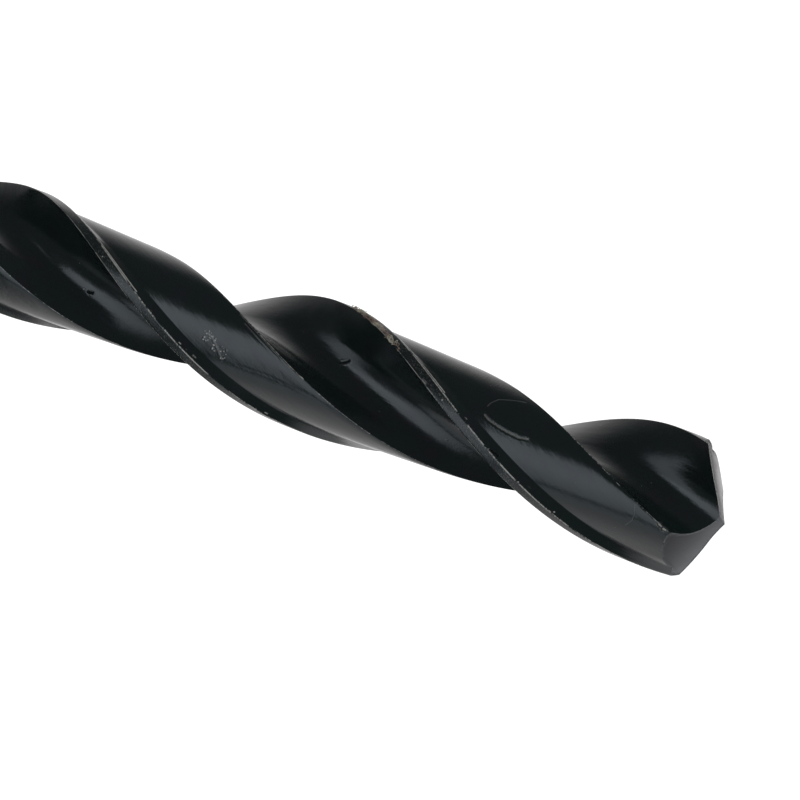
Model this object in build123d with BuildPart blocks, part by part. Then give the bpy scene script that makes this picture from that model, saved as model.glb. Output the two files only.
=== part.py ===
from build123d import *
from math import acos, asin, atan2, ceil, cos, degrees, pi, radians, sin, sqrt, tan
import os

# A parallel-shank twist drill of jobber length, standing on its shank end.
# The origin is the centre of the shank's end face and +Z runs up the drill's axis to the point.
# It is right-handed: driven clockwise as the shank end sees it, each land leads with its margin's edge.

# ---- driving dimensions, in millimetres and degrees
DIAMETER = 13.0  # over the margins at the point
BACK_TAPER = 0.05  # how much narrower the drill has become where the flutes end, and the shank
OVERALL_LENGTH = 151.0
FLUTE_LENGTH = 101.0  # from the point to where the flutes have run out
SHANK_CHAMFER = 1.0

HELIX_ANGLE = 28.7  # at the margins
POINT_ANGLE = 127.0  # between the two cutting lips
WEB_THICKNESS = 1.8  # of the core at the point
WEB_TAPER = 1.3  # how much the core has thickened where the flutes end
ROOT_RADIUS = 3.5  # of the flute's rounded bottom
RUNOUT_LENGTH = 19.0  # over which the cutter climbs out of the flute

LAND_WIDTH = 9.35  # round the drill's circle, from cutting edge to heel
MARGIN_WIDTH = 1.25  # round the drill's circle
MARGIN_STEP = 0.75  # round the circle, the slope down from the margin
FRONT_CLEARANCE = 0.85  # depth of the land below the circle, at the foot of the margin's slope
HEEL_CLEARANCE = 1.45  # the same depth at the heel

RELIEF_ANGLE = 12.8  # at which each flank falls away behind its lip
RELIEF_RADIUS = 25.0  # of the cylinder that each flank is ground to

# ---- how the cutting tools are drawn
OVERCUT = 1.2  # how far each tool stands outside the metal that it cuts
TURN_PER_STATION = 6.0  # twist between one section of a tool and the next

# ---- derived sizes
radius = DIAMETER / 2
shank_radius = radius - BACK_TAPER / 2
half_web = WEB_THICKNESS / 2
lead = pi * DIAMETER / tan(radians(HELIX_ANGLE))
lip_slope = 1 / tan(radians(POINT_ANGLE / 2))  # fall of a lip for each millimetre outward
flute_end = OVERALL_LENGTH - FLUTE_LENGTH
runout_start = flute_end + RUNOUT_LENGTH
tool_radius = radius + OVERCUT

land_angle = LAND_WIDTH / radius
margin_angle = MARGIN_WIDTH / radius
step_angle = MARGIN_STEP / radius
front_radius = radius - FRONT_CLEARANCE
heel_radius = radius - HEEL_CLEARANCE

# A lip lies half a web ahead of the axis. Its line, drawn on inward, passes the axis a little
# above the chisel edge, because the flank behind it falls away before it reaches the axis.
relief_slope = tan(radians(RELIEF_ANGLE))
lip_direction = Vector(1, 0, -lip_slope).normalized()
flank_normal = Vector(lip_slope, -relief_slope, 1).normalized()
flank_run_squared = half_web**2 * (1 + (relief_slope * sin(radians(POINT_ANGLE / 2))) ** 2)
flank_sag = flank_run_squared / (2 * RELIEF_RADIUS) / flank_normal.Z
lip_top = OVERALL_LENGTH + half_web * relief_slope + flank_sag
corner_x = sqrt(radius**2 - half_web**2)
corner_z = lip_top - corner_x * lip_slope
corner_angle = asin(half_web / radius)

# The wheel that mills a flute climbs out along its own circle.
full_depth = radius - half_web - WEB_TAPER / 2
wheel_radius = (RUNOUT_LENGTH**2 + full_depth**2) / (2 * full_depth)


def twist(z):
    """The direction of the cutting edge of the first land at height z, in radians."""
    return corner_angle + 2 * pi * (z - corner_z) / lead


def climb(z):
    """How far the wheel has climbed out of the metal at height z."""
    back = max(runout_start - z, 0.0)
    return wheel_radius - sqrt(wheel_radius**2 - back**2)


def web_growth(z):
    """Growth of half the web from the point down to height z."""
    return WEB_TAPER / 2 * (OVERALL_LENGTH - z) / FLUTE_LENGTH


def stations():
    """Heights of the tools' sections, from above the point to below the end of the flutes."""
    top = OVERALL_LENGTH + OVERCUT
    bottom = flute_end - OVERCUT
    count = ceil((top - bottom) / (lead * TURN_PER_STATION / 360))
    return [top + (bottom - top) * i / count for i in range(count + 1)]


def polar(r, angle):
    return (r * cos(angle), r * sin(angle))


def section_plane(z, lift=0.0, lift_direction=0.0):
    """A level plane whose X points at the cutting edge, moved outward by lift."""
    direction = twist(z)
    x, y = polar(lift, direction + lift_direction)
    return Plane(origin=(x, y, z), x_dir=(cos(direction), sin(direction), 0), z_dir=(0, 0, 1))


# ---- flute tool: a straight leading face, a round bottom and a straight trailing face
heel_point = Vector(*polar(heel_radius, pi - land_angle))


def flute_section(z):
    """Where the flute's bottom and trailing face lie at height z, seen with X along its leading face."""
    root_distance = half_web + web_growth(z) + ROOT_RADIUS
    root_centre = Vector(sqrt(root_distance**2 - ROOT_RADIUS**2), ROOT_RADIUS)
    to_heel = heel_point - root_centre
    tangent_angle = atan2(to_heel.Y, to_heel.X) + acos(ROOT_RADIUS / to_heel.length)
    tangent_point = root_centre + Vector(*polar(ROOT_RADIUS, tangent_angle))
    trailing_face = (heel_point - tangent_point).normalized()
    outer_heel = heel_point + trailing_face * ((tool_radius - heel_point.Y) / trailing_face.Y)
    return root_centre, tangent_angle, tangent_point, outer_heel


with BuildPart() as flute_tool:
    for z in stations():
        root_centre, tangent_angle, tangent_point, outer_heel = flute_section(z)
        outward = atan2(root_centre.Y, root_centre.X)
        with BuildSketch(section_plane(z, climb(z), outward)):
            with BuildLine():
                Line((tool_radius, 0), (root_centre.X, 0))
                CenterArc(root_centre, ROOT_RADIUS, 270, degrees(tangent_angle) - 270)
                Polyline(tangent_point, outer_heel, (tool_radius, tool_radius), (tool_radius, 0))
            make_face()
    loft()

# ---- clearance tool: lowers the back of a land behind its margin, and runs out with the flute
margin_back = -margin_angle
land_front = margin_back - step_angle
past_heel = -land_angle - OVERCUT / heel_radius
above_margin = margin_back + OVERCUT * step_angle / FRONT_CLEARANCE
with BuildPart() as clearance_tool:
    for z in stations():
        rise = climb(z) * (HEEL_CLEARANCE + OVERCUT) / full_depth
        front = polar(front_radius + rise, land_front)
        middle = polar((front_radius + heel_radius) / 2 + rise, (land_front + past_heel) / 2)
        back = polar(heel_radius + rise, past_heel)
        outer_back = polar(tool_radius + rise, past_heel)
        outer_middle = polar(tool_radius + rise, (above_margin + past_heel) / 2)
        outer_front = polar(tool_radius + rise, above_margin)
        with BuildSketch(section_plane(z)):
            with BuildLine():
                Line(outer_front, front)
                ThreePointArc(front, middle, back)
                Line(back, outer_back)
                ThreePointArc(outer_back, outer_middle, outer_front)
            make_face()
    loft()

# ---- flank tool: what a grinding wheel takes off behind one lip, down to a cylinder along that lip
lip_above_axis = Vector(0, half_web, lip_top)
flank_axis = Plane(origin=lip_above_axis - flank_normal * RELIEF_RADIUS, z_dir=lip_direction)
flank_length = 4 * DIAMETER  # longer than the drill is wide, along a lip's slope
with BuildPart() as flank_tool:
    with Locations((0, 0, OVERALL_LENGTH)):
        Box(2 * tool_radius, 2 * tool_radius, 2 * radius)
    with Locations(flank_axis):
        Cylinder(RELIEF_RADIUS, flank_length, mode=Mode.SUBTRACT)

# ---- the drill: a turned blank, cut by each tool on both sides
with BuildPart() as twist_drill:
    Cylinder(shank_radius, flute_end, align=(Align.CENTER, Align.CENTER, Align.MIN))
    chamfer(twist_drill.edges().sort_by(Axis.Z)[0], SHANK_CHAMFER)
    with Locations((0, 0, flute_end)):
        Cone(shank_radius, radius, FLUTE_LENGTH, align=(Align.CENTER, Align.CENTER, Align.MIN))
    for half_turn in (0, 180):
        add(clearance_tool.part, rotation=(0, 0, half_turn), mode=Mode.SUBTRACT)
        add(flute_tool.part, rotation=(0, 0, half_turn), mode=Mode.SUBTRACT)
        add(flank_tool.part, rotation=(0, 0, half_turn), mode=Mode.SUBTRACT)

twist_drill.part.label = "twist_drill"
os.makedirs("parts", exist_ok=True)
export_step(twist_drill.part, "parts/twist_drill.step")
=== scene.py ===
"""The looks of a black oxide twist drill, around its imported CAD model."""

from functools import reduce
from math import acos, asin, atan2, ceil, cos, degrees, pi, radians, sin, sqrt, tan
from random import Random

import bmesh
import bpy
import numpy as np
from mathutils import Matrix, Vector, noise
from mathutils.bvhtree import BVHTree
from mathutils.geometry import delaunay_2d_cdt
from mathutils.kdtree import KDTree


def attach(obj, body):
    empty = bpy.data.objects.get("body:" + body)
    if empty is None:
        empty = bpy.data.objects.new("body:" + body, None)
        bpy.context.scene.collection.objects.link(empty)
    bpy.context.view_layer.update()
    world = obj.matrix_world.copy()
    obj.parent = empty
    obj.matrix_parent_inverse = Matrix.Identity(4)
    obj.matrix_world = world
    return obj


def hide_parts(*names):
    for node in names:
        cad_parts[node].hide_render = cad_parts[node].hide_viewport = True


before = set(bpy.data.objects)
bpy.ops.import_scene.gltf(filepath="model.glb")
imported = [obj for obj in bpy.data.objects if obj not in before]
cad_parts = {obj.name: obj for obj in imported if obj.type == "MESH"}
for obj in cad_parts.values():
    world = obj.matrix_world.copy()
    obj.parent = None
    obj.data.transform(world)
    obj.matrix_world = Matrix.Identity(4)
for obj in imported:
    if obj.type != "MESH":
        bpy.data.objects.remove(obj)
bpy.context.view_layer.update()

MM = 0.001

# ---- the drill's sizes, in millimetres and degrees, as in its CAD source
DIAMETER = 13.0
BACK_TAPER = 0.05
OVERALL_LENGTH = 151.0
FLUTE_LENGTH = 101.0
SHANK_CHAMFER = 1.0
HELIX_ANGLE = 28.7
POINT_ANGLE = 127.0
WEB_THICKNESS = 1.8
WEB_TAPER = 1.3
ROOT_RADIUS = 3.5
RUNOUT_LENGTH = 19.0
LAND_WIDTH = 9.35
MARGIN_WIDTH = 1.25
MARGIN_STEP = 0.75
FRONT_CLEARANCE = 0.85
HEEL_CLEARANCE = 1.45
RELIEF_ANGLE = 12.8
RELIEF_RADIUS = 25.0
OVERCUT = 1.2

radius = DIAMETER / 2
shank_radius = radius - BACK_TAPER / 2
half_web = WEB_THICKNESS / 2
lead = pi * DIAMETER / tan(radians(HELIX_ANGLE))
lip_slope = 1 / tan(radians(POINT_ANGLE / 2))
flute_end = OVERALL_LENGTH - FLUTE_LENGTH
runout_start = flute_end + RUNOUT_LENGTH
tool_radius = radius + OVERCUT
land_angle = LAND_WIDTH / radius
margin_back = -MARGIN_WIDTH / radius
land_front = margin_back - MARGIN_STEP / radius
front_radius = radius - FRONT_CLEARANCE
heel_radius = radius - HEEL_CLEARANCE
past_heel = -land_angle - OVERCUT / heel_radius
above_margin = margin_back + OVERCUT * (MARGIN_STEP / radius) / FRONT_CLEARANCE

# the ground point: each flank is part of a cylinder that lies along its lip
relief_slope = tan(radians(RELIEF_ANGLE))
lip_direction = Vector((1, 0, -lip_slope)).normalized()
flank_normal = Vector((lip_slope, -relief_slope, 1)).normalized()
flank_run_squared = half_web**2 * (1 + (relief_slope * sin(radians(POINT_ANGLE / 2))) ** 2)
flank_sag = flank_run_squared / (2 * RELIEF_RADIUS) / flank_normal.z
lip_top = OVERALL_LENGTH + half_web * relief_slope + flank_sag
corner_x = sqrt(radius**2 - half_web**2)
corner_z = lip_top - corner_x * lip_slope
corner_angle = asin(half_web / radius)

# the milling wheel that cuts a flute climbs out of it along an arc
full_depth = radius - half_web - WEB_TAPER / 2
wheel_radius = (RUNOUT_LENGTH**2 + full_depth**2) / (2 * full_depth)

# ---- how finely the drill's skin is divided
MARGIN_CELLS = 5
STEP_CELLS = 4
LAND_CELLS = 24
FLUTE_CELLS = 54
ROW_HEIGHT = 0.27  # near the point, in millimetres
FAR_ROW_HEIGHT = 0.5
RUNOUT_ROW_HEIGHT = 0.3
SEEN_FROM = 76.0  # the photograph's edge cuts the drill a little above this height
POINT_ZONE = 141.0  # above this height each row leans to follow the ground point
ABOVE_POINT = 152.0
SHANK_TOP = flute_end - 0.6  # below this height the outline is round
EDGE_ROUNDING = 0.05  # how far a worn edge reaches to each side
SHANK_ROWS = (SHANK_CHAMFER, SHANK_CHAMFER + EDGE_ROUNDING, 3.0, 12.0, 24.0)
SPREAD_LENGTH = 16.0  # over this length below SHANK_TOP the columns spread out evenly
SPREAD_ROWS = 14
POINT_ROWS = 4  # more rows in the point zone, whose walls end higher near the axis
END_RINGS = (0.2, 0.5, 0.8, 1.0)  # of the shank's end face, in shares of its radius
FLANK_CELL = 0.32  # between points of the ground point's two faces
OUTLINE_POINTS = 1200  # at which the blank's outline is searched for the margin's end
TOOL_POINTS = 260  # along each stretch of the flute tool's outline
NARROWEST_FLUTE = 60  # points kept where the flute is about to end
CHISEL_WITHIN = 0.6 * pi  # radians from X, between which the chisel edge is searched for
HALVINGS = 50  # of that search
SETTLING_ROUNDS = 40  # in which the top row settles on the ground point
HEEL_WEAR = 0.10  # how deep the lands are rounded off at the heel
HEEL_WEAR_REACH = 0.95
APART = 0.01  # radians kept between two corners of the outline, where one has run into the other
NARROWEST_LAND = 0.05  # in radians

# columns of the skin, counted from a cutting edge; each stretch has one more at each rounded end
MARGIN_END = MARGIN_CELLS + 2
LAND_START = MARGIN_END + STEP_CELLS + 1
HEEL = LAND_START + LAND_CELLS + 1


def polar(r, angle):
    return r * np.cos(angle), r * np.sin(angle)


def twist(z):
    """Direction of the first land's cutting edge at height z."""
    return corner_angle + 2 * pi * (z - corner_z) / lead


def climb(z):
    """How far the milling wheel has climbed out of the flute at height z."""
    back = max(runout_start - z, 0.0)
    return wheel_radius - sqrt(max(wheel_radius**2 - back**2, 0.0))


def body_radius(z):
    """The drill's radius at height z. The fluted body widens a little toward the point."""
    up = min(max((z - flute_end) / FLUTE_LENGTH, 0.0), 1.0)
    return shank_radius + (radius - shank_radius) * up


def circle_through(a, b, c):
    """Centre and radius of the circle through three points."""
    ax, ay = a
    bx, by = b[0] - ax, b[1] - ay
    cx, cy = c[0] - ax, c[1] - ay
    d = 2 * (bx * cy - by * cx)
    ux = (cy * (bx**2 + by**2) - by * (cx**2 + cy**2)) / d
    uy = (bx * (cx**2 + cy**2) - cx * (bx**2 + by**2)) / d
    return ux + ax, uy + ay, sqrt(ux**2 + uy**2)


class Blank:
    """The drill's outline before its flutes are cut, at one height: a radius for each angle
    behind a cutting edge."""

    def __init__(self, z):
        self.radius = body_radius(z)
        rise = climb(z) * (HEEL_CLEARANCE + OVERCUT) / full_depth
        front = polar(front_radius + rise, land_front)
        middle = polar((front_radius + heel_radius) / 2 + rise, (land_front + past_heel) / 2)
        back = polar(heel_radius + rise, past_heel)
        self.arc = circle_through(front, middle, back)
        self.step_in = front
        self.step_out = polar(tool_radius + rise, above_margin)

    def land(self, angle):
        """Radius of the land's ground arc."""
        x, y, r = self.arc
        along = x * np.cos(angle) + y * np.sin(angle)
        return along + np.sqrt(np.maximum(r**2 - x**2 - y**2 + along**2, 0))

    def step(self, angle):
        """Radius of the straight slope between the margin and the land."""
        (x0, y0), (x1, y1) = self.step_in, self.step_out
        across = (x1 - x0) * np.sin(angle) - (y1 - y0) * np.cos(angle)
        return (y0 * (x1 - x0) - x0 * (y1 - y0)) / across

    def at(self, angle):
        """Radius at angles from -pi to 0, where 0 is the cutting edge."""
        angle = np.asarray(angle, float)
        r = np.full(angle.shape, self.radius)
        cut = (angle <= land_front) & (angle >= past_heel)
        r[cut] = np.minimum(r[cut], self.land(angle[cut]))
        slope = (angle > land_front) & (angle < above_margin)
        r[slope] = np.minimum(r[slope], self.step(angle[slope]))
        return r

    def margin_foot(self):
        """Angles where the margin ends and where the slope behind it ends, kept a little apart."""
        angles = np.linspace(0, past_heel, OUTLINE_POINTS)
        below = self.at(angles) < self.radius - 1e-4
        first = angles[np.argmax(below)] if below.any() else land_front
        return max(first, land_front + APART), land_front


def flute_path(z):
    """The milling tool's outline at height z, from outside one cutting edge to outside the next heel."""
    growth = WEB_TAPER / 2 * (OVERALL_LENGTH - z) / FLUTE_LENGTH
    root_distance = half_web + growth + ROOT_RADIUS
    centre = Vector((sqrt(root_distance**2 - ROOT_RADIUS**2), ROOT_RADIUS))
    heel = Vector(polar(heel_radius, pi - land_angle))
    to_heel = heel - centre
    tangent_angle = atan2(to_heel.y, to_heel.x) + acos(ROOT_RADIUS / to_heel.length)
    tangent = centre + Vector(polar(ROOT_RADIUS, tangent_angle))
    face = (heel - tangent).normalized()
    outer = heel + face * ((tool_radius - heel.y) / face.y)
    t = np.linspace(0, 1, TOOL_POINTS)[:, None]
    leading = np.array([(tool_radius, 0.0)]) * (1 - t) + np.array([(centre.x, 0.0)]) * t
    angle = 1.5 * pi + (tangent_angle - 1.5 * pi) * t[:, 0]
    bottom = np.stack([centre.x + ROOT_RADIUS * np.cos(angle), centre.y + ROOT_RADIUS * np.sin(angle)], 1)
    trailing = np.array([tangent]) * (1 - t) + np.array([outer]) * t
    lift = climb(z) * centre.normalized()
    return np.concatenate([leading, bottom[1:], trailing[1:]]) + np.array(lift)


def resample(points, fractions):
    """Points at the given fractions of a polyline's length."""
    steps = np.hypot(*np.diff(points, axis=0).T)
    along = np.concatenate([[0], np.cumsum(steps)])
    at = np.asarray(fractions) * along[-1]
    return np.stack([np.interp(at, along, points[:, k]) for k in (0, 1)], 1)


def rounded_fractions(cells, length, start, end):
    """Even fractions along a stretch, with one more close to each rounded end."""
    even = list(np.linspace(0, 1, cells + 1))
    near = EDGE_ROUNDING / length
    if start:
        even.insert(1, near)
    if end:
        even.insert(-1, 1 - near)
    return np.array(even)


def cut_flute(z, blank):
    """The flute's outline inside the blank, from its cutting edge to the heel."""
    path = flute_path(z)
    r = np.hypot(path[:, 0], path[:, 1])
    angle = np.arctan2(path[:, 1], path[:, 0])
    edge = blank.at(np.clip(angle - pi, -pi, 0))
    depth = edge - r
    inside = np.nonzero(depth > 0)[0]
    if len(inside):
        first, last = inside[0], inside[-1]
    else:
        first = last = int(np.argmax(depth))
    short = max(NARROWEST_FLUTE - (last - first), 0) // 2
    first, last = max(first - short, 1), min(last + short, len(path) - 2)
    kept = path[first : last + 1].copy()
    outside = depth[first : last + 1] < 0
    kept[outside] *= (edge[first : last + 1] / r[first : last + 1])[outside, None]
    for end, at, beyond in ((0, first, first - 1), (-1, last, last + 1)):
        if not outside[end]:
            share = depth[at] / (depth[at] - depth[beyond])
            kept[end] = path[at] + (path[beyond] - path[at]) * share
    return kept


def worn_heel(flute):
    """The flute's outline with its heel worn back a little, and by how much."""
    r = np.hypot(flute[:, 0], flute[:, 1])
    wear = min(HEEL_WEAR, (r[-1] - r.min()) / 4)
    limit = r[-1] - wear
    k = np.nonzero(r < limit)[0][-1]
    end = flute[k] + (flute[k + 1] - flute[k]) * (limit - r[k]) / (r[k + 1] - r[k])
    return np.vstack([flute[: k + 1], end]), wear


def section(z):
    """One half of the drill's outline at height z, from the first cutting edge, through land and flute,
    to the second. X points at the first cutting edge."""
    blank = Blank(z)
    flute, wear = worn_heel(cut_flute(z, blank))
    edge = atan2(flute[0, 1], flute[0, 0])
    heel = atan2(flute[-1, 1], flute[-1, 0]) - pi
    margin_end, arc_start = blank.margin_foot()
    arc_start = max(arc_start, heel + NARROWEST_LAND)
    margin_end = max(margin_end, arc_start + APART)
    margin = edge + (margin_end - edge) * rounded_fractions(
        MARGIN_CELLS, (edge - margin_end) * radius, True, True)
    step = margin_end + (arc_start - margin_end) * rounded_fractions(STEP_CELLS, MARGIN_STEP, True, False)
    land = arc_start + (heel - arc_start) * rounded_fractions(
        LAND_CELLS, (arc_start - heel) * radius, False, True)
    angles = np.concatenate([margin[:-1], step[:-1], land])
    radii = blank.at(np.clip(angles, -pi, 0))
    radii -= wear * np.clip(1 - (angles - heel) * radius / HEEL_WEAR_REACH, 0, 1) ** 2
    radii[0] = np.hypot(*flute[0])
    radii[-1] = np.hypot(*flute[-1])
    outline = np.stack(polar(radii, angles), 1)
    length = np.hypot(*np.diff(flute, axis=0).T).sum()
    bottom = -resample(flute[::-1], rounded_fractions(FLUTE_CELLS, length, True, True))
    return np.concatenate([outline, bottom[1:-1]])


def rounded(loop, corners):
    """Pulls each sharp corner of a closed outline a little inward."""
    count = len(loop)
    soft = loop.copy()
    for c in corners:
        soft[c] = loop[c] / 2 + (loop[c - 1] + loop[(c + 1) % count]) / 4
    return soft


def full_section(z):
    """The drill's whole outline at height z, with its corners a little worn."""
    half = section(z)
    loop = np.concatenate([half, -half])
    corners = [k + len(half) * side for side in (0, 1) for k in (0, MARGIN_END, HEEL)]
    return rounded(loop, corners)


def turned(points, angle):
    """Points turned about the drill's axis."""
    c, s = np.cos(angle), np.sin(angle)
    return np.stack([points[:, 0] * c - points[:, 1] * s, points[:, 0] * s + points[:, 1] * c], 1)


def flank(x, y):
    """Height of the first ground flank above (x, y)."""
    axis_point = Vector((0, half_web, lip_top)) - flank_normal * RELIEF_RADIUS
    ax, ay, az = axis_point
    lx, ly, lz = lip_direction
    dx, dy = x - ax, y - ay
    along = dx * lx + dy * ly
    a = 1 - lz**2
    b = -2 * along * lz
    c = dx**2 + dy**2 - along**2 - RELIEF_RADIUS**2
    return az + (np.sqrt(b**2 - 4 * a * c) - b) / (2 * a)


def point_height(x, y):
    """Height of the ground point above (x, y): the lower of the two flanks."""
    return np.minimum(flank(x, y), flank(-x, -y))


def chisel_edge(reach, count):
    """Points at even distances along the line where the two flanks meet, from the axis outward."""
    r = np.linspace(0, reach, count + 1)[1:]
    low, high = np.zeros(count), np.full(count, CHISEL_WITHIN)
    for _ in range(HALVINGS):
        middle = (low + high) / 2
        x, y = polar(r, middle)
        before = flank(x, y) < flank(-x, -y)
        low = np.where(before, middle, low)
        high = np.where(before, high, middle)
    return np.stack(polar(r, (low + high) / 2), 1)


def row_heights():
    """Heights of the level rows, from the top of the shank's chamfer to the foot of the point zone."""
    spread = np.linspace(SHANK_TOP - SPREAD_LENGTH, SHANK_TOP, SPREAD_ROWS, endpoint=False)
    runout = np.arange(SHANK_TOP, runout_start, RUNOUT_ROW_HEIGHT)
    far = np.arange(runout_start, SEEN_FROM, FAR_ROW_HEIGHT)
    near = np.linspace(SEEN_FROM, POINT_ZONE, round((POINT_ZONE - SEEN_FROM) / ROW_HEIGHT) + 1)
    return np.concatenate([SHANK_ROWS, spread, runout, far, near])


def shank_section(z, top_section):
    """The shank's round outline. Its points spread out evenly below the end of the flutes."""
    count = len(top_section)
    top_angles = np.unwrap(np.arctan2(top_section[:, 1], top_section[:, 0]))
    even_angles = top_angles[0] - 2 * pi * np.arange(count) / count
    spread = min((SHANK_TOP - z) / SPREAD_LENGTH, 1.0)
    return np.stack(polar(shank_radius, top_angles + (even_angles - top_angles) * spread), 1)


def ground_top(low, high):
    """The top row, where the walls meet the ground point. low and high are the sections at POINT_ZONE
    and at ABOVE_POINT, and the height of each point is found on its own wall."""
    z = np.full(len(low), corner_z)
    for _ in range(SETTLING_ROUNDS):
        x, y = wall_points(low, high, z).T
        z = point_height(x, y)
    return z


def wall_points(low, high, z):
    """Points of the walls in the point zone, each at its own height."""
    share = ((z - POINT_ZONE) / (ABOVE_POINT - POINT_ZONE))[:, None]
    return turned(low + (high - low) * share, twist(z))


def snap_to_chisel(low, high):
    """Slides the flute's nearest column to where the chisel edge ends, and returns its number."""
    half = len(low) // 2
    for _ in range(3):
        z = ground_top(low, high)
        x, y = wall_points(low, high, z).T
        ahead = (flank(x, y) - flank(-x, -y))[HEEL:half]
        k = HEEL + int(np.nonzero(np.diff(np.sign(ahead)))[0][0])
        share = ahead[k - HEEL] / (ahead[k - HEEL] - ahead[k - HEEL + 1])
        moved = k if share < 0.5 else k + 1
        high[moved] = high[k] + (high[k + 1] - high[k]) * share
        high[moved + half] = -high[moved]
    return moved


def inside(polygon, points):
    """Which points lie inside a closed polygon."""
    x, y = points[:, 0][:, None], points[:, 1][:, None]
    ax, ay = polygon.T
    bx, by = np.roll(polygon, -1, 0).T
    crosses = (ay > y) != (by > y)
    with np.errstate(divide="ignore", invalid="ignore"):
        at = ax + (y - ay) * (bx - ax) / (by - ay)
    return (crosses & (x < at)).sum(1) % 2 == 1


def flank_faces(ring, chisel_column):
    """Triangles over the ground point: new points inside the ring, and faces by number,
    where numbers below len(ring) are the ring's own points."""
    half = len(ring) // 2
    reach = np.hypot(*ring[chisel_column])
    outward = chisel_edge(reach, round(reach / FLANK_CELL))[:-1]
    if np.dot(ring[chisel_column], outward[-1]) < 0:
        outward = -outward
    ridge = np.concatenate([outward[::-1], [(0.0, 0.0)], -outward])
    fixed = np.concatenate([ring, ridge])
    side = np.arange(-radius, radius, FLANK_CELL)
    grid = np.array([(x + FLANK_CELL / 2 * (row % 2), y * sqrt(3) / 2)
        for row, y in enumerate(side * 2 / sqrt(3)) for x in side])
    grid = grid[inside(ring, grid)]
    gaps = np.hypot(*(grid[:, None, :] - fixed[None, :, :]).transpose(2, 0, 1)).min(1)
    grid = grid[gaps > 0.6 * FLANK_CELL]
    points = np.concatenate([fixed, grid])
    count = len(ring)
    edges = [(k, (k + 1) % count) for k in range(count)]
    chain = [chisel_column] + list(range(count, count + len(ridge))) + [(chisel_column + half) % count]
    edges += list(zip(chain, chain[1:]))
    _, _, faces, origin, _, _ = delaunay_2d_cdt([Vector(p) for p in points], edges, [], 0, 1e-7)
    number = [o[0] for o in origin]
    triangles = np.array([[number[v] for v in f] for f in faces])
    triangles = triangles[inside(ring, points[triangles].mean(1))]
    return points[count:], triangles, chain


REFERENCE_HEIGHT = 110.0  # where the outline is measured for the finish
# how worn each edge's own column and its two neighbours are
EDGE_WEAR = ((0, (0.5, 1.0, 0.7)), (MARGIN_END, (0.9, 1.0, 0.5)), (HEEL - 1, (0.3, 0.75, 0.6)))
LIP_WEAR, RIM_WEAR = 0.55, 0.3  # round the ground point, along the flutes and elsewhere
USE_FROM, USE_FADE = flute_end + 1, 5.0  # where wear begins, above the shank, and how gently
GROUND_OFFSET = 500.0  # keeps the ground point's texture apart from the walls'


def level_rows():
    """The rows below the point zone, each at one height."""
    top_of_shank = full_section(SHANK_TOP)
    rows = []
    for z in row_heights():
        flat = full_section(z) if z >= SHANK_TOP else shank_section(z, top_of_shank)
        rows.append(np.column_stack([turned(flat, twist(max(z, SHANK_TOP))), np.full(len(flat), z)]))
    return rows


def point_rows(low, high):
    """The rows of the point zone, which lean more and more until the last lies on the ground point."""
    top = ground_top(low, high)
    steps = round((corner_z - POINT_ZONE) / ROW_HEIGHT) + POINT_ROWS
    last = 1 - EDGE_ROUNDING / (corner_z - POINT_ZONE)
    rows = []
    for t in list(np.linspace(0, 1, steps + 1)[1:-1]) + [last, 1.0]:
        z = POINT_ZONE + (top - POINT_ZONE) * t
        rows.append(np.column_stack([wall_points(low, high, z), z]))
    return rows


def end_rows(first):
    """The rings of the shank's end face, from the middle outward."""
    end = first[:, :2] * (shank_radius - SHANK_CHAMFER) / shank_radius
    return [np.column_stack([end * ring, np.zeros(len(end))]) for ring in END_RINGS]


def drill_mesh():
    """The drill's skin as one closed mesh, in millimetres, and how its points are laid out."""
    low, high = full_section(POINT_ZONE), full_section(ABOVE_POINT)
    count = len(low)
    chisel_column = snap_to_chisel(low, high)
    rows = level_rows() + point_rows(low, high)
    rows = end_rows(rows[0]) + rows
    ring_start, centre = (len(rows) - 1) * count, len(rows) * count
    faces = []
    for start in range(0, ring_start, count):
        for k in range(count):
            n = (k + 1) % count
            faces.append((start + k, start + count + k, start + count + n, start + n))
    faces += [(centre, k, (k + 1) % count) for k in range(count)]
    extra, triangles, chain = flank_faces(rows[-1][:, :2], chisel_column)

    def numbered(v):
        return ring_start + v if v < count else centre + 1 + v - count

    faces += [tuple(numbered(v) for v in triangle) for triangle in triangles]
    ground = np.column_stack([extra, point_height(extra[:, 0], extra[:, 1])])
    points = np.concatenate(rows + [[(0.0, 0.0, 0.0)], ground])
    ridge = [numbered(v) for v in chain]
    layout = {"count": count, "rows": len(rows), "ends": len(END_RINGS), "ridge": ridge}
    return points, faces, layout


def skin_coordinates(points, layout):
    """For each point, millimetres round the outline and along the helix, for the finish to follow."""
    count, total = layout["count"], layout["count"] * layout["rows"]
    steps = np.hypot(*np.diff(full_section(REFERENCE_HEIGHT), axis=0).T)
    around = np.concatenate([[0], np.cumsum(steps)])
    skin = points.copy()
    # 1 on the shank, which has no flutes for the finish to follow
    plain = np.clip((runout_start - points[:total, 2]) / RUNOUT_LENGTH, 0, 1)
    skin[:total, 0] = np.tile(around, layout["rows"]) * (1 - plain) + points[:total, 0] * plain
    skin[:total, 1] = points[:total, 2] / cos(radians(HELIX_ANGLE))
    skin[:total, 2] = points[:total, 1] * plain
    skin[total:, 2] = points[total:, 2] + GROUND_OFFSET
    return skin


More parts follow.
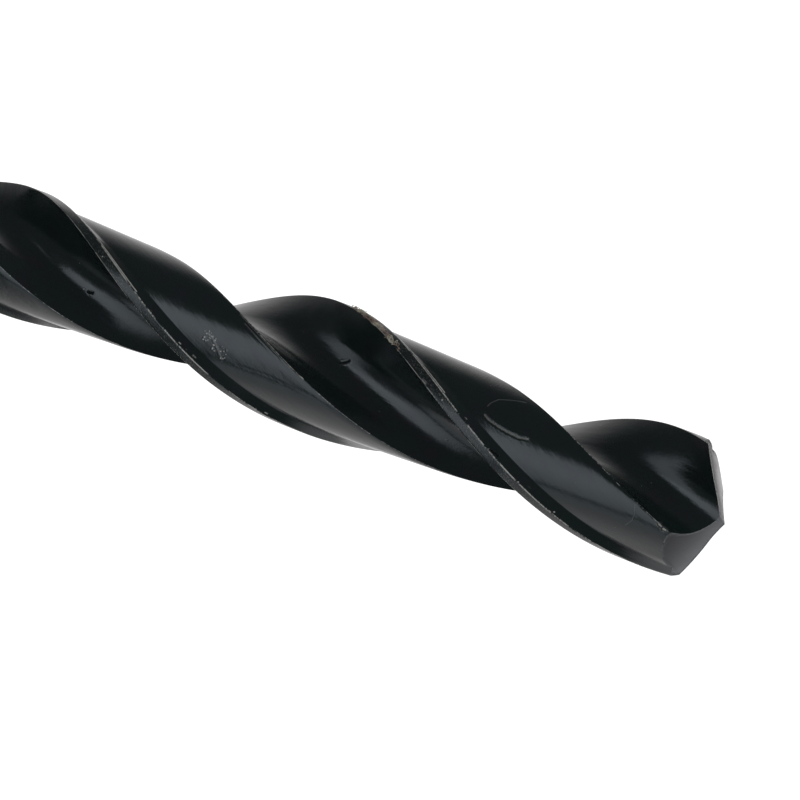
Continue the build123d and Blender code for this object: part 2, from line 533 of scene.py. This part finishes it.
def column_masks(layout, points):
    """How worn each point's edge is, and where the bright-ground margins lie."""
    count, half = layout["count"], layout["count"] // 2
    wear, margin = np.zeros(count), np.zeros(count)
    for side in (0, half):
        for column, shares in EDGE_WEAR:
            for step, share in zip((-1, 0, 1), shares):
                wear[(column + side + step) % count] = share
        margin[side : side + MARGIN_END + 1] = 1
    rows = layout["rows"]
    total, size = rows * count, len(points)
    fluted = np.clip((points[:total, 2] - USE_FROM) / USE_FADE, 0, 1)
    wears = np.tile(wear, rows) * fluted
    wears[-count:] = [LIP_WEAR if column % half > HEEL else RIM_WEAR for column in range(count)]
    margins = np.tile(margin, rows) * fluted
    ground = np.zeros(size)
    ground[total + 1 :] = 1
    pad = np.zeros(size - total)
    return np.concatenate([wears, pad]), np.concatenate([margins, pad]), ground


def add_attributes(mesh, points, layout):
    """Store what the finish reads: the skin's coordinates and the masks."""
    skin = mesh.attributes.new("skin", "FLOAT_VECTOR", "POINT")
    skin.data.foreach_set("vector", skin_coordinates(points, layout).ravel())
    for name, values in zip(("wear", "margin", "ground"), column_masks(layout, points)):
        attribute = mesh.attributes.new(name, "FLOAT", "POINT")
        attribute.data.foreach_set("value", values)


def edge_numbers(layout):
    """Pairs of points along the edges that stay sharp."""
    count, half = layout["count"], layout["count"] // 2
    pairs = list(zip(layout["ridge"], layout["ridge"][1:]))
    for row in (layout["ends"] - 1, layout["ends"], layout["rows"] - 1):
        around = [row * count + k for k in range(count)]
        pairs += list(zip(around, around[1:] + around[:1]))
    for column in (LAND_START, LAND_START + half):
        upward = [row * count + column for row in range(layout["ends"], layout["rows"])]
        pairs += list(zip(upward, upward[1:]))
    return pairs


# ---- marks of use: where each lies, by height and by degrees round from the first cutting edge.
# After its paths, each kind has its half width and depth and how much bare metal it shows; below zero, how
# much darker and duller it is made instead.
PITS = (((80.6, 78.4), (81.0, 76.6)), ((109.5, 202.0), (110.2, 190.0)), ((129.8, 169.2), (130.7, 167.8)))
PIT = (0.20, 0.09, -0.7)  # made darker and duller inside
CHIPS = (
    ((147.6, 352.0), (147.7, 350.5)),
    ((147.9, 345.0), (147.95, 344.0)),
    ((120.8, 179.4), (121.2, 179.4)),
    ((147.9, 99.0), (147.7, 99.8)),
    ((147.2, 98.8), (147.4, 98.9)),
)
CHIP = (0.20, 0.10, 0.6)
GRAINS = ((80.0, 77.6), (83.6, 356.3), (123.6, 175.3), (133.3, 170.2), (137.1, 169.0))
GRAIN = (0.11, -0.06, 1.0)
ARCS = (
    ((127.7, 152.4), (128.3, 152.8), (129.3, 150.5), (130.5, 146.8), (131.7, 142.0), (132.6, 136.0)),
    ((127.5, 144.0), (127.6, 139.0), (128.0, 130.5), (128.6, 124.0), (129.4, 116.0), (130.3, 108.0)),
)
BROAD_ARC, FINE_ARC = (0.23, 0.022, 0.33), (0.17, 0.012, 0.26)
SCRATCHES = (
    ((144.5, 101.0), (144.75, 109.5), (144.65, 116.6), (144.0, 128.0)),
    ((144.8, 133.5), (144.8, 135.0)),
)
SCRATCH = (0.06, 0.012, 0.32)
WORN_EDGES = (
    ((112.6, 169.5), (116.4, 169.2), (118.2, 169.7), (120.0, 169.2), (123.4, 169.4)),
    ((77.8, 349.4), (80.2, 349.2), (83.0, 349.6), (88.8, 349.4)),
)
WORN_EDGE = (0.11, -0.03, 0.9)
DRAG_LINES = (((101.2, 322.4), (105.0, 303.5), (109.6, 289.6)),)
DRAG = (0.22, 0.008, 0.0)
BURRS = (((99.5, 279.6), (107.5, 279.4)), ((100.5, 282.6), (105.5, 281.6)))
BURR = (0.09, -0.022, 0.3)
SMEARS = (((97.5, 320.4), (98.0, 321.1), (98.6, 323.6)), ((98.6, 323.6), (99.1, 327.5), (99.5, 330.4)))
SMEAR = (0.3, -0.008, 0.3)
GRAIN_PATCH = ((96.9, 318.0), (99.9, 331.0), 56)  # two corners and how many grains lie between them
KNOCKS = 46  # small nicks along the edges
KNOCK_TURNS = (0.0, -9.5, -11.0, -82.0)  # of the edges they lie on
MARK_REACH = 0.12  # how far past a mark the mesh is made finer
MARK_CUTS = 3
WOBBLE, WOBBLE_SIZE = 0.35, 0.16  # how uneven a mark's width is, and over what length
RIM_HEIGHT = 0.18  # of the raised rim round a mark, as a share of its depth
RIM_AT, RIM_WIDTH = 1.15, 0.4  # in half widths of the mark
MARKS_SEED = 7


def on_skin(tree, height, turn):
    """The outermost point of the skin at this height, so many degrees round from the first cutting edge."""
    angle = twist(height) + radians(turn)
    outward = Vector((cos(angle), sin(angle), 0))
    return tree.ray_cast((outward * DIAMETER + Vector((0, 0, height))) * MM, -outward)[0]


def use_marks():
    """Every mark as its path, half width, depth and bare metal."""
    chance = Random(MARKS_SEED)
    spots = [(place, place) for place in GRAINS]
    kinds = ((PITS, PIT), (CHIPS, CHIP), (spots, GRAIN), (ARCS[:1], BROAD_ARC), (ARCS[1:], FINE_ARC),
        (SCRATCHES, SCRATCH), (WORN_EDGES, WORN_EDGE), (DRAG_LINES, DRAG), (BURRS, BURR), (SMEARS, SMEAR))
    marks = [(path, *kind) for paths, kind in kinds for path in paths]
    (low, start), (high, end), count = GRAIN_PATCH
    for _ in range(count):
        place = (chance.uniform(low, high), chance.uniform(start, end))
        size, rise = chance.uniform(0.06, 0.17), chance.uniform(0.005, 0.025)
        marks.append(((place, place), size, -rise, chance.uniform(0.3, 0.8)))
    for _ in range(KNOCKS):
        height = chance.uniform(SEEN_FROM, corner_z - 1)
        turn = chance.choice(KNOCK_TURNS) + chance.choice((0, 180)) + chance.uniform(-1.5, 0.3)
        path = ((height, turn), (height + chance.uniform(0.0, 0.3), turn))
        size, depth = chance.uniform(0.06, 0.13), chance.uniform(-0.02, 0.05)
        marks.append((path, size, depth, chance.uniform(0.2, 0.8)))
    return marks


def mark_samples(tree, marks):
    """Points along every mark, close enough together to read as one stroke."""
    samples = []
    for number, (path, width, _, _) in enumerate(marks):
        for (low, start), (high, end) in zip(path, path[1:]):
            reach = sqrt((high - low) ** 2 + (radius * radians(end - start)) ** 2)
            count = max(1, ceil(2 * reach / width))
            for k in range(count + 1):
                place = on_skin(tree, low + (high - low) * k / count, start + (end - start) * k / count)
                if place is not None:
                    samples.append((place, number))
    finder = KDTree(len(samples))
    for index, (place, _) in enumerate(samples):
        finder.insert(place, index)
    finder.balance()
    return finder, samples


def wear_skin(bm):
    """Press the marks into the skin and raise the burrs and grains, on a finer mesh where each one lies."""
    marks = use_marks()
    finder, samples = mark_samples(BVHTree.FromBMesh(bm), marks)
    near = set()
    for vert in bm.verts:
        _, index, distance = finder.find(vert.co)
        if distance < (marks[samples[index][1]][1] + MARK_REACH) * MM:
            near.update(vert.link_faces)
    edges = {edge for face in near for edge in face.edges}
    bmesh.ops.subdivide_edges(bm, edges=list(edges), cuts=MARK_CUTS, use_grid_fill=True)
    bmesh.ops.triangulate(bm, faces=[face for face in bm.faces if len(face.verts) > 4])
    bm.normal_update()
    shine = bm.verts.layers.float.new("bare")
    moves = []
    for vert in bm.verts:
        place, index, distance = finder.find(vert.co)
        _, width, depth, metal = marks[samples[index][1]]
        wobble = 1 + WOBBLE * noise.noise(vert.co / (WOBBLE_SIZE * MM))
        t = distance / (width * MM * wobble)
        if t < RIM_AT + RIM_WIDTH:
            hollow = (1 - t * t) ** 2 if t < 1 else 0.0
            rim = RIM_HEIGHT * max(0.0, 1 - abs(t - RIM_AT) / RIM_WIDTH)
            moves.append((vert, vert.normal * (rim - hollow) * depth * MM))
            vert[shine] = metal * (hollow if depth < 0 else max(rim * 3, hollow))
    for vert, move in moves:
        vert.co += move


def add_object(name, data):
    """A new object in the scene."""
    thing = bpy.data.objects.new(name, data)
    bpy.context.scene.collection.objects.link(thing)
    return thing


def build_drill():
    """The drill as one piece, worn and shaded smooth apart from its ground edges."""
    points, faces, layout = drill_mesh()
    mesh = bpy.data.meshes.new("oxide_drill")
    mesh.from_pydata((points * MM).tolist(), [], faces)
    mesh.validate()
    add_attributes(mesh, points, layout)
    bm = bmesh.new()
    bm.from_mesh(mesh)
    bmesh.ops.recalc_face_normals(bm, faces=bm.faces)
    bm.verts.ensure_lookup_table()
    for face in bm.faces:
        face.smooth = True
    sharp = set(frozenset(pair) for pair in edge_numbers(layout))
    for edge in bm.edges:
        edge.smooth = frozenset((edge.verts[0].index, edge.verts[1].index)) not in sharp
    wear_skin(bm)
    bm.to_mesh(mesh)
    bm.free()
    drill = add_object("oxide_drill", mesh)
    weighted = drill.modifiers.new("even_shading", "WEIGHTED_NORMAL")
    weighted.keep_sharp = True
    return drill


# ---- lint caught on the second margin's edge
FIBRES = 90
LINT_FROM, LINT_THICKEST, LINT_TO = 107.6, 112.0, 117.2  # heights
LINT_DEPTH = 0.24  # how far it stands off the margin
FIBRE_STEPS = 18
FIBRE_SIDES = 5
THINNEST_FIBRE, THICKEST_FIBRE = 0.018, 0.034  # half thicknesses
LINT_SEED = 19


def fibre_path(chance):
    """A curly thread that leaves the margin's edge and comes back to it, as points in millimetres."""
    start = chance.triangular(LINT_FROM, LINT_TO, LINT_THICKEST)
    run = chance.uniform(-0.9, 1.4)
    edge = chance.uniform(176.0, 180.5)
    lift = chance.uniform(0.08, 0.48)
    waves = [(chance.uniform(0.05, 0.28), chance.uniform(0.6, 2.2), chance.random()) for _ in range(3)]
    points = []
    for k in range(FIBRE_STEPS + 1):
        t = k / FIBRE_STEPS
        swing = [size * sin(2 * pi * (turns * t + phase)) for size, turns, phase in waves]
        height = min(max(start + run * t + swing[0], LINT_FROM), LINT_TO)
        angle = twist(height) + radians(edge + swing[1] * 9)
        r = body_radius(height) - 0.02 + min(lift * sin(pi * t) * (0.75 + swing[2]), LINT_DEPTH)
        points.append(Vector((r * cos(angle), r * sin(angle), height)))
    return points


def tube(path, thickness, verts, faces):
    """Add a closed thread of this half thickness along path."""
    first = len(verts)
    side = Vector((0.3, 0.5, 0.8))
    for k, place in enumerate(path):
        along = (path[min(k + 1, len(path) - 1)] - path[max(k - 1, 0)]).normalized()
        side = (side - side.dot(along) * along).normalized()
        other = along.cross(side)
        for s in range(FIBRE_SIDES):
            turn = 2 * pi * s / FIBRE_SIDES
            verts.append((place + (side * cos(turn) + other * sin(turn)) * thickness) * MM)
    for k in range(len(path) - 1):
        ring = first + k * FIBRE_SIDES
        for s in range(FIBRE_SIDES):
            n = (s + 1) % FIBRE_SIDES
            faces.append((ring + s, ring + n, ring + FIBRE_SIDES + n, ring + FIBRE_SIDES + s))
    last = first + (len(path) - 1) * FIBRE_SIDES
    faces.append(tuple(first + s for s in reversed(range(FIBRE_SIDES))))
    faces.append(tuple(last + s for s in range(FIBRE_SIDES)))


def build_lint():
    """A tangle of threads as one piece."""
    chance = Random(LINT_SEED)
    verts, faces = [], []
    for _ in range(FIBRES):
        tube(fibre_path(chance), chance.uniform(THINNEST_FIBRE, THICKEST_FIBRE), verts, faces)
    mesh = bpy.data.meshes.new("lint")
    mesh.from_pydata([tuple(v) for v in verts], [], faces)
    mesh.validate()
    mesh.shade_smooth()
    return add_object("lint", mesh)


# ---- the photograph's view
FOCAL_PIXELS = 3500.0
PHOTO_SIDE = 800
SENSOR = 36.0
CLIP_START, CLIP_END = 0.01, 50
TIP_PIXEL = (722.55, 520.65)
TIP_DEPTH = 314.84  # millimetres in front of the camera
AXIS_FALL = 0.36564  # radians by which the drill falls to the right
AXIS_LEAN = 0.46548  # radians by which its point leans toward the camera
LIP_TURN = 4.96292  # radians from the camera's side to the first lip


def drill_axes():
    """The drill's X, Y and Z directions as the camera sees them: x right, y down, z away."""
    z = Vector((cos(AXIS_LEAN) * cos(AXIS_FALL), cos(AXIS_LEAN) * sin(AXIS_FALL), -sin(AXIS_LEAN)))
    toward = Vector((0, 0, -1))
    across = (toward - toward.dot(z) * z).normalized()
    beyond = z.cross(across)
    x = across * cos(LIP_TURN) + beyond * sin(LIP_TURN)
    y = beyond * cos(LIP_TURN) - across * sin(LIP_TURN)
    return x, y, z


def view_matrix():
    """Where the camera stands and looks, so that the tip falls on its pixel."""
    x, y, z = drill_axes()
    to_drill = Matrix((x, y, z))
    tip = Vector([(p - PHOTO_SIDE / 2) / FOCAL_PIXELS * TIP_DEPTH for p in TIP_PIXEL] + [TIP_DEPTH])
    place = Vector((0, 0, OVERALL_LENGTH)) - to_drill @ tip
    right, up, back = to_drill.col[0], -to_drill.col[1], -to_drill.col[2]
    matrix = Matrix((right, up, back)).transposed().to_4x4()
    matrix.translation = place * MM
    return matrix


def build_camera():
    data = bpy.data.cameras.new("camera")
    data.sensor_width = SENSOR
    data.lens = SENSOR * FOCAL_PIXELS / PHOTO_SIDE
    data.clip_start, data.clip_end = CLIP_START, CLIP_END
    camera = add_object("camera", data)
    camera.matrix_world = view_matrix()
    bpy.context.scene.camera = camera


drill = build_drill()
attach(drill, "root")
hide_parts("twist_drill")
lint = build_lint()
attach(lint, "root")
build_camera()
bpy.context.scene.view_settings.view_transform = "Standard"


# ---- node helpers
class Nodes:
    """Short ways to add and join shader nodes in one tree."""

    def __init__(self, tree):
        self.tree = tree
        tree.nodes.clear()

    def add(self, kind, settings=None, **inputs):
        node = self.tree.nodes.new(kind)
        for key, value in (settings or {}).items():
            setattr(node, key, value)
        for key, value in inputs.items():
            self.put(node.inputs[key.replace("_", " ")], value)
        return node

    def put(self, socket, value):
        if isinstance(value, bpy.types.NodeSocket):
            self.tree.links.new(value, socket)
        else:
            socket.default_value = value

    def math(self, operation, *values):
        node = self.add("ShaderNodeMath", {"operation": operation})
        for socket, value in zip(node.inputs, values):
            self.put(socket, value)
        return node.outputs[0]

    def times(self, *values):
        return reduce(lambda a, b: self.math("MULTIPLY", a, b), values)

    def plus(self, *values):
        return reduce(lambda a, b: self.math("ADD", a, b), values)

    def most(self, *values):
        return reduce(lambda a, b: self.math("MAXIMUM", a, b), values)

    def vector_math(self, operation, vector, other):
        node = self.add("ShaderNodeVectorMath", {"operation": operation})
        self.put(node.inputs[0], vector)
        node.inputs[1].default_value = other
        return node.outputs

    def dot(self, vector, direction):
        return self.vector_math("DOT_PRODUCT", vector, direction)["Value"]

    def ramp(self, value, low, high, at_low=0.0, at_high=1.0):
        """A smooth change from at_low to at_high while value goes from low to high."""
        node = self.add("ShaderNodeMapRange", {"interpolation_type": "SMOOTHSTEP"})
        for socket, v in zip(node.inputs[:5], (value, low, high, at_low, at_high)):
            self.put(socket, v)
        return node.outputs[0]

    def mix(self, factor, a, b):
        """Colour a where factor is 0 and b where it is 1."""
        node = self.add("ShaderNodeMix", {"data_type": "RGBA"})
        for number, value in ((0, factor), (6, a), (7, b)):
            self.put(node.inputs[number], value)
        return node.outputs[2]

    def noise(self, vector, scale, detail, roughness):
        inputs = {"Vector": vector, "Scale": scale, "Detail": detail, "Roughness": roughness}
        return self.add("ShaderNodeTexNoise", **inputs).outputs[0]

    def finish(self, shader, kind="ShaderNodeOutputMaterial"):
        self.put(self.add(kind).inputs["Surface"], shader.outputs[0])


def new_material(name):
    material = bpy.data.materials.new(name)
    material.use_nodes = True
    return material, Nodes(material.node_tree)


def grey(level):
    return (level, level, level, 1.0)


# ---- the studio, placed by the photograph's view: each direction is seen from the drill
view = view_matrix()
RIGHT = Vector(view.col[0][:3])
UP = Vector(view.col[1][:3])
TOWARD = Vector(view.col[2][:3])

# Each light is a patch of sky inside soft edges. An edge is (across, up, dark, bright): the light fades
# in while across * left + up * above goes from dark to bright.
SOFTBOX = (
    (1.0, 0.30, 23.5, 35.0),
    (1.0, 0.12, 63.0, 56.0),
    (1.0, 0.90, 103.0, 92.0),
    (-1.7, 1.0, -31.0, -43.0),
    (0.0, 1.0, -34.0, -27.0),
)
SIDE_LIGHT = (
    (1.0, 0.6, 76.0, 82.0),
    (1.0, 0.6, 97.0, 91.0),
    (1.0, 0.0, 50.0, 58.0),
    (0.0, 1.0, -26.0, -14.0),
    (0.0, 1.0, 50.0, 38.0),
)
BRIDGE = (  # joins the softbox to the side light higher up
    (1.0, 0.6, 65.5, 70.5),
    (1.0, 0.6, 85.5, 80.5),
    (0.0, 1.0, 9.0, 21.0),
    (0.0, 1.0, 50.0, 38.0),
)
NEAR_TABLE = ((0.0, 1.0, -32.5, -38.5), (1.0, 0.25, 26.0, 34.0), (1.0, 0.25, 65.0, 57.0))
TABLE = ((0.0, 1.0, -84.0, -104.0),)
TABLE_CORNER = ((1.0, 0.0, 3.0, 13.0), (1.0, 0.0, 43.0, 33.0), (0.0, 1.0, -54.0, -84.0))
CLEAR_SKY = (0.7, 1.0, 94.0, 114.0)  # where nothing hides the white background behind the drill
# the far side's lights are charted by degrees round from FAR_AZIMUTH and above the floor
FAR_AZIMUTH = 202.0
FAR_STRIP = ((1.0, 0.0, -18.0, -12.0), (1.0, 0.0, 18.0, 12.0), (0.0, 1.0, -15.0, -9.0), (0.0, 1.0, 15.0, 9.0))
FAR_ROW = ((1.0, 0.0, 39.0, 53.0), (1.0, 0.0, 157.0, 143.0), (0.0, 1.0, 17.0, 27.0), (0.0, 1.0, 51.0, 41.0))
OVERHEAD = ((0.0, 1.0, 50.0, 64.0),)
DARKEST = 0.065  # what the sky reflects where no light is
AMBIENT = 0.5  # the plain light that falls on dull surfaces


def photo_chart(nodes, ray):
    """How many degrees ray points to the left of the camera, above it and away from it, with the whole
    sphere laid out flat."""
    left, above = nodes.dot(ray, -RIGHT), nodes.dot(ray, UP)
    across = nodes.math("SQRT", nodes.plus(nodes.math("POWER", left, 2.0), nodes.math("POWER", above, 2.0)))
    away = nodes.times(nodes.math("ARCCOSINE", nodes.dot(ray, TOWARD)), degrees(1))
    scale = nodes.math("DIVIDE", away, nodes.most(across, 0.001))
    return nodes.times(left, scale), nodes.times(above, scale), away


def far_chart(nodes, ray):
    """How many degrees ray points round from FAR_AZIMUTH and above the floor."""
    far = Vector((cos(radians(FAR_AZIMUTH)), sin(radians(FAR_AZIMUTH)), 0))
    across = nodes.dot(ray, Vector((0, 0, 1)).cross(far))
    turn = nodes.times(nodes.math("ARCTAN2", across, nodes.dot(ray, far)), degrees(1))
    rise = nodes.times(nodes.math("ARCSINE", nodes.dot(ray, (0, 0, 1))), degrees(1))
    return turn, rise


def soft_edge(nodes, left, above, edge):
    """0 on an edge's dark side and 1 on its bright side."""
    across, up, dark, bright = edge
    terms = [value if share == 1.0 else nodes.times(value, share)
        for value, share in ((left, across), (above, up)) if share]
    return nodes.ramp(nodes.plus(*terms), dark, bright)


def light(nodes, left, above, edges, *levels):
    """A patch of light inside the given edges, as bright as the product of levels."""
    return nodes.times(*(soft_edge(nodes, left, above, edge) for edge in edges), *levels)


def sky_level(nodes, left, above, away, turn, rise):
    """How bright the sky is where a reflected ray goes."""
    softbox = light(nodes, left, above, SOFTBOX,
        nodes.ramp(left, 24.0, 60.0, 0.95, 1.3), nodes.ramp(above, -32.0, 8.0, 0.62, 1.0))
    side = light(nodes, left, above, SIDE_LIGHT, 0.72)
    bridge = light(nodes, left, above, BRIDGE, 0.72)
    near_table = light(nodes, left, above, NEAR_TABLE, nodes.ramp(above, -52.0, -80.0, 1.0, 1.36), 0.56)
    table = light(nodes, left, above, TABLE, nodes.ramp(left, -54.0, -80.0, 1.0, 2.1), 0.48)
    corner = light(nodes, left, above, TABLE_CORNER, 0.9)
    clear = nodes.most(soft_edge(nodes, left, above, CLEAR_SKY), nodes.ramp(away, 146.0, 156.0))
    behind = nodes.times(nodes.ramp(away, 97.0, 146.0, 0.0, 0.85), clear)
    # none of the far side's lights is reflected in the photograph's view
    strip = light(nodes, turn, rise, FAR_STRIP, 2.4)
    row = light(nodes, turn, rise, FAR_ROW, 1.6)
    over = light(nodes, turn, rise, OVERHEAD, 1.3)
    return nodes.plus(
        DARKEST, nodes.most(softbox, side, bridge, near_table, table, corner, behind, strip, row, over))


def sky_tint(nodes, left, above, away, glossy):
    """The lights are a little blue, apart from the background and the table, and the rest is neutral."""
    front = nodes.times(nodes.ramp(away, 90.0, 125.0, 1.0, 0.0), nodes.ramp(above, -70.0, -31.0, 0.15, 1.0))
    right = nodes.times(nodes.ramp(left, -35.0, -55.0, 0.0, 0.45), nodes.ramp(above, -60.0, -80.0))
    neutral = nodes.mix(glossy, grey(1.0), (1.0, 0.98, 0.99, 1.0))
    return nodes.mix(nodes.times(glossy, nodes.most(front, right)), neutral, (0.90, 1.0, 1.10, 1.0))


def build_world():
    """White to the camera, the lights to reflections, and a plain even light to everything else."""
    world = bpy.data.worlds.new("studio")
    bpy.context.scene.world = world
    world.use_nodes = True
    world.cycles.sampling_method = "NONE"
    nodes = Nodes(world.node_tree)
    ray = nodes.add("ShaderNodeTexCoord").outputs["Generated"]
    path = nodes.add("ShaderNodeLightPath").outputs
    seen = nodes.most(path["Is Camera Ray"], path["Is Transmission Ray"])
    glossy = nodes.times(path["Is Glossy Ray"], nodes.math("SUBTRACT", 1.0, seen))
    plain = nodes.math("SUBTRACT", 1.0, nodes.most(seen, glossy))
    front = photo_chart(nodes, ray)
    level = sky_level(nodes, *front, *far_chart(nodes, ray))
    strength = nodes.plus(seen, nodes.times(glossy, level), nodes.times(plain, AMBIENT))
    tint = sky_tint(nodes, *front, glossy)
    background = nodes.add("ShaderNodeBackground", Color=tint, Strength=strength)
    nodes.finish(background, "ShaderNodeOutputWorld")


FLOOR_RADIUS = 6.0
FLOOR_WHITE = 0.86
FLOOR_GLOW = 0.35  # lifts the floor to the photograph's white
LAMP_PLACE = (0.1, 0.2, 1.4)
LAMP_AIM = (0, 0, 0.1)
LAMP_SIDE = 1.2
LAMP_WATTS = 14.0
FLAG_SIDE = 0.046
FLAG_PLACE = (0.002, 0.030, 0.035)
FLAG_COLOUR = (0.9, 1.0, 1.06, 1.0)
FLAG_LEVEL = 0.075
FLAG_CLEAR, FLAG_DARK = 0.13, 0.20  # how aslant a ray meets it where it starts to show and shows fully


def build_floor():
    bpy.ops.mesh.primitive_circle_add(vertices=96, radius=FLOOR_RADIUS, fill_type="NGON", location=(0, 0, 0))
    floor = bpy.context.object
    floor.name = "floor"
    floor.visible_glossy = False
    material, nodes = new_material("floor_white")
    path = nodes.add("ShaderNodeLightPath").outputs
    seen = nodes.most(path["Is Camera Ray"], path["Is Glossy Ray"], path["Is Transmission Ray"])
    diffuse = nodes.add("ShaderNodeBsdfDiffuse", Color=grey(FLOOR_WHITE))
    glow = nodes.add("ShaderNodeEmission", Color=grey(1.0), Strength=nodes.times(seen, FLOOR_GLOW))
    both = nodes.add("ShaderNodeAddShader")
    nodes.put(both.inputs[0], diffuse.outputs[0])
    nodes.put(both.inputs[1], glow.outputs[0])
    nodes.finish(both)
    floor.data.materials.append(material)


def build_lamp():
    """A broad lamp overhead, for the floor's shadow. Reflections don't show it."""
    data = bpy.data.lights.new("overhead", "AREA")
    data.shape = "RECTANGLE"
    data.size = data.size_y = LAMP_SIDE
    data.energy = LAMP_WATTS
    lamp = add_object("overhead", data)
    lamp.location = LAMP_PLACE
    lamp.rotation_euler = (Vector(LAMP_AIM) - Vector(LAMP_PLACE)).to_track_quat("-Z", "Y").to_euler()
    lamp.visible_glossy = False


def build_flag():
    """A dark card between the upper flute and the side light. Only reflections that meet it at a slant
    show it."""
    bpy.ops.mesh.primitive_plane_add(size=1.0)
    flag = bpy.context.object
    flag.name = "flag"
    flag.scale = (FLAG_SIDE, FLAG_SIDE, 1.0)
    flag.location = FLAG_PLACE
    flag.rotation_euler = (radians(90), 0, 0)
    flag.visible_camera = flag.visible_diffuse = flag.visible_shadow = flag.visible_transmission = False
    material, nodes = new_material("flag_black")
    facing = nodes.add("ShaderNodeLayerWeight", Blend=0.5).outputs["Facing"]
    mixed = nodes.add("ShaderNodeMixShader", Fac=nodes.ramp(facing, FLAG_CLEAR, FLAG_DARK))
    nodes.put(mixed.inputs[1], nodes.add("ShaderNodeBsdfTransparent").outputs[0])
    card = nodes.add("ShaderNodeEmission", Color=FLAG_COLOUR, Strength=FLAG_LEVEL)
    nodes.put(mixed.inputs[2], card.outputs[0])
    nodes.finish(mixed)
    flag.data.materials.append(material)


# ---- the finishes
SURFACE_HEIGHT = 0.018  # of the finest marks, in millimetres
GREEN_OXIDE = (0.0046, 0.0085, 0.0082, 1)
BLUE_OXIDE = (0.0060, 0.0076, 0.0090, 1)
THIN_OXIDE = (0.055, 0.057, 0.053, 1)
DUST = (0.20, 0.195, 0.18, 1)
BARE_STEEL = (0.24, 0.24, 0.23, 1)
GROUND_STEEL = (0.026, 0.026, 0.027, 1)
# the near-black colour inside the pits, which are made darker
PIT_COLOUR = (0.003, 0.003, 0.003, 1)
DARK_LINT, PALE_LINT = (0.16, 0.115, 0.095, 1), (0.34, 0.33, 0.27, 1)
OXIDE_IOR = 1.58

# noise over the skin: features to a millimetre round the body and along the helix, detail, roughness
GRINDING_LINES = (7.0, 0.25, 3.0, 0.6)
RIPPLES = (1.6, 0.5, 2.0, 0.5)
BLOTCHES = (0.5, 0.3, 3.0, 0.55)
PATCHES = (0.25, 0.35, 3.0, 0.6)


def stretched_noise(nodes, skin, across, along, detail, roughness):
    place = nodes.vector_math("MULTIPLY", skin, (across, along, 1.0))["Vector"]
    return nodes.noise(place, 1.0, detail, roughness)


def oxide_material():
    material, nodes = new_material("black_oxide")

    def attribute(name, output="Fac"):
        return nodes.add("ShaderNodeAttribute", {"attribute_name": name}).outputs[output]

    skin = attribute("skin", "Vector")
    wear, margin, ground, marks = (attribute(name) for name in ("wear", "margin", "ground", "bare"))
    walls = nodes.math("SUBTRACT", 1.0, ground)
    lines = stretched_noise(nodes, skin, *GRINDING_LINES)
    ripple = stretched_noise(nodes, skin, *RIPPLES)
    grain = nodes.noise(skin, 5.0, 1.5, 0.5)
    blotch = stretched_noise(nodes, skin, *BLOTCHES)
    patchy = stretched_noise(nodes, skin, *PATCHES)
    specks = nodes.noise(skin, 6.5, 1.0, 0.5)

    # the oxide is a green-black that turns bluish in places
    colour = nodes.mix(nodes.ramp(blotch, 0.46, 0.66), GREEN_OXIDE, BLUE_OXIDE)
    # the margins rub on the hole, so their oxide is thin and speckled
    speckled = nodes.ramp(nodes.plus(specks, nodes.times(patchy, 0.5)), 0.80, 0.98)
    colour = nodes.mix(nodes.times(margin, speckled), colour, THIN_OXIDE)
    # dust and small bright knocks lie here and there
    dust = nodes.times(nodes.ramp(grain, 0.77, 0.80), nodes.ramp(patchy, 0.46, 0.56))
    colour = nodes.mix(dust, colour, DUST)
    # edges shine where the oxide has worn through
    ragged = nodes.plus(wear, nodes.times(nodes.math("SUBTRACT", grain, 0.5), 0.5))
    broken = nodes.ramp(nodes.plus(patchy, nodes.times(grain, 0.3)), 0.55, 0.70)
    bare = nodes.times(nodes.ramp(ragged, 0.60, 0.85), broken)
    colour = nodes.mix(nodes.most(bare, nodes.ramp(marks, 0.12, 0.6)), colour, BARE_STEEL)
    # the ground point is a little greyer, and the pits are made darker and duller
    colour = nodes.mix(ground, colour, GROUND_STEEL)
    darker_pits = nodes.ramp(marks, -0.15, -0.6)
    colour = nodes.mix(darker_pits, colour, PIT_COLOUR)

    drawn = nodes.times(nodes.ramp(lines, 0.35, 0.7, 0.0, 0.04), walls)
    rough = nodes.plus(nodes.ramp(blotch, 0.35, 0.7, 0.10, 0.17), drawn)
    rough = nodes.plus(rough, nodes.times(margin, 0.05), nodes.times(ground, 0.10))
    rough = nodes.most(rough, nodes.times(darker_pits, 0.7))

    height = nodes.plus(nodes.times(lines, 0.35), nodes.times(ripple, 0.9), nodes.times(grain, 0.30))
    height = nodes.times(height, nodes.ramp(walls, 0.0, 1.0, 0.2, 1.0))
    height = nodes.plus(height, nodes.times(specks, margin, 0.5))
    bump = nodes.add("ShaderNodeBump", Strength=1.0, Distance=SURFACE_HEIGHT * MM, Height=height)
    shader = nodes.add(
        "ShaderNodeBsdfPrincipled", Base_Color=colour, Roughness=rough, IOR=OXIDE_IOR, Normal=bump.outputs[0])
    nodes.put(shader.inputs["Specular IOR Level"], nodes.ramp(marks, -0.15, -0.6, 0.5, 0.12))
    nodes.finish(shader)
    return material


def lint_material():
    material, nodes = new_material("lint")
    place = nodes.add("ShaderNodeTexCoord").outputs["Object"]
    shade = nodes.noise(place, 700.0, 2.0, 0.5)
    colour = nodes.mix(nodes.ramp(shade, 0.40, 0.62), DARK_LINT, PALE_LINT)
    nodes.finish(nodes.add("ShaderNodeBsdfPrincipled", Base_Color=colour, Roughness=0.85))
    return material


build_world()
build_floor()
build_flag()
build_lamp()
drill.data.materials.append(oxide_material())
lint.data.materials.append(lint_material())
